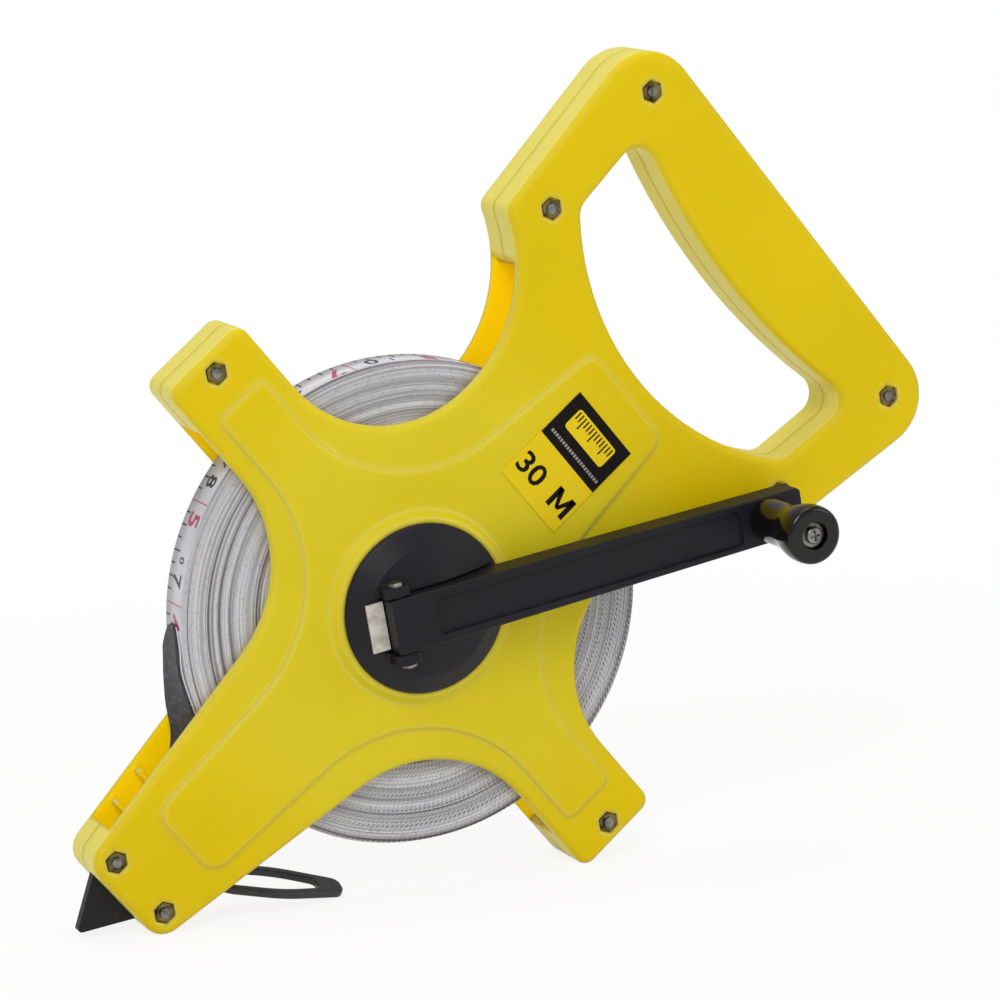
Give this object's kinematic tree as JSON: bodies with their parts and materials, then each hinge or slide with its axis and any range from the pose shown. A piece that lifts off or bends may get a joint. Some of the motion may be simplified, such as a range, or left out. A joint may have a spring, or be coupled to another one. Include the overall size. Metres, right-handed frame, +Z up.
{
  "type": "surveyor tape reel",
  "caption": "Open frame tape reel with a hand grip, folding winding crank with turning knob, wound measuring tape, end loop and ground spike.",
  "frame": {"origin": "centre of the reel's footprint on the ground, midway along its length and between its two faces", "axes": "+X along the ground towards the hand grip, +Y from the crank side to the rear face, +Z up, with the reel standing on its foot arm and lower side arm"},
  "size_m": [0.2826, 0.0692, 0.2483],
  "materials": {
    "yellow_plastic": "moulded yellow plastic, satin gloss, lightly scuffed",
    "black_plastic": "moulded black plastic, fine texture",
    "gloss_black_plastic": "smooth black plastic",
    "black_steel": "black coated steel, edges worn",
    "fibreglass_tape": "coated glass fibre tape, edges showing the wound layers",
    "black_webbing": "black coated webbing",
    "plated_steel": "bright zinc plated steel",
    "white_plastic": "low friction white plastic",
    "label_print": "printed film with a yellow capacity field"
  },
  "bodies": {
    "frame": {"front_half": "yellow_plastic", "rear_half": "yellow_plastic", "frame_bolts": "plated_steel", "frame_nuts": "plated_steel", "ground_spike": "black_steel", "label_plate": "label_print", "thrust_washer_front": "white_plastic", "thrust_washer_rear": "white_plastic", "tape_run": "fibreglass_tape", "tape_lead": "black_webbing", "lead_rivets": "plated_steel"},
    "reel": {"reel_drum": "black_plastic", "tape_anchor_pin": "plated_steel", "tape_coil": "fibreglass_tape", "hub_disc_front": "black_plastic", "hub_disc_rear": "black_plastic", "hub_screws": "plated_steel", "crank_hinge_pin": "plated_steel", "hinge_pin_clip": "plated_steel", "crank_latch_spring": "plated_steel"},
    "crank": {"crank_arm": "black_plastic", "knob_spindle": "plated_steel", "knob_washer": "plated_steel", "knob_screw": "plated_steel"},
    "crank_knob": {"knob": "gloss_black_plastic"},
    "loop": {"end_loop": "gloss_black_plastic"}
  },
  "joints": [
    {"name": "reel_spin", "type": "hinge", "parent": "frame", "child": "reel", "pos_m": [-0.03276, 0.0201, 0.08872], "axis": [0, 1, 0], "continuous": true},
    {"name": "crank_fold", "type": "hinge", "parent": "reel", "child": "crank", "pos_m": [-0.04404, -0.0036, 0.08707], "axis": [-0.1447, 0, 0.9895], "range_deg": [-168, 0]},
    {"name": "knob_spin", "type": "hinge", "parent": "crank", "child": "crank_knob", "pos_m": [0.07766, 0, 0.10486], "axis": [0, 1, 0], "continuous": true},
    {"name": "loop_swing", "type": "hinge", "parent": "frame", "child": "loop", "pos_m": [-0.10771, 0.0201, 0.01412], "axis": [0.0683, 0.9563, 0.2843], "range_deg": [-6, 40]}
  ]
}
